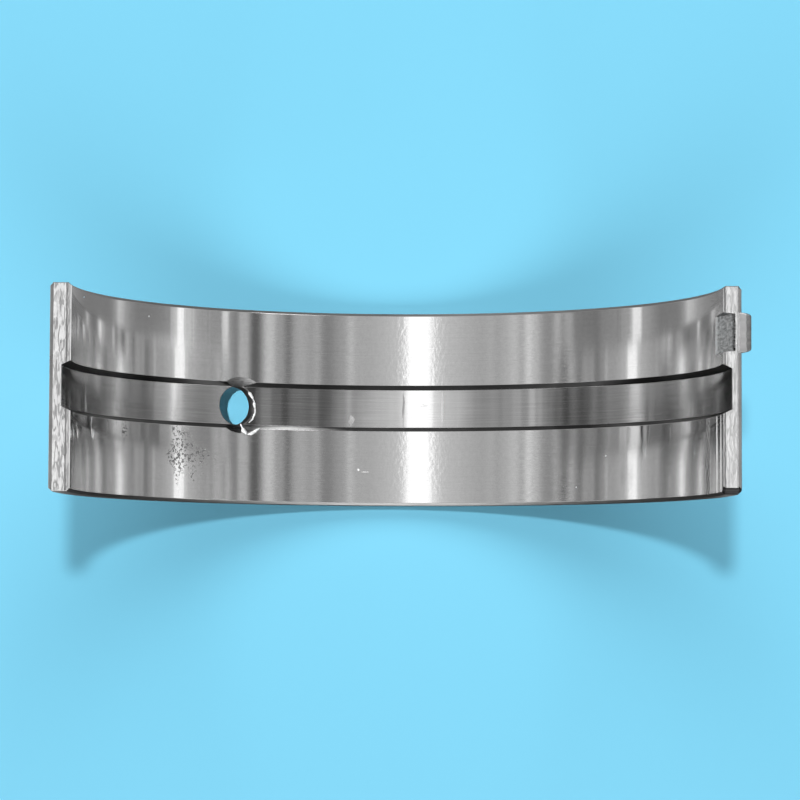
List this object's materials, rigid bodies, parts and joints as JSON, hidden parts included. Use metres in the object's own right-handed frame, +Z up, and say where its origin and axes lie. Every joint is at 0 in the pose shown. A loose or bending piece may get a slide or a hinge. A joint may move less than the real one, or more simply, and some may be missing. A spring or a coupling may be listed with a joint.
{
  "type": "engine bearing shell",
  "caption": "Half-round plain bearing shell with a full-length oil groove, a countersunk oil hole and a lanced locating tang.",
  "frame": {"origin": "on the journal's axis, midway between the side faces, in the split plane", "axes": "+X across the split toward the tang's end, +Y along the journal's axis toward the side face nearer to the tang, +Z up out of the open side, so the crown of the back is lowest"},
  "size_m": [0.0649, 0.0194, 0.032],
  "materials": {
    "shell_metal": "fine-bored and worn bright metal"
  },
  "bodies": {
    "root": {"bearing_shell": "shell_metal"}
  },
  "joints": []
}
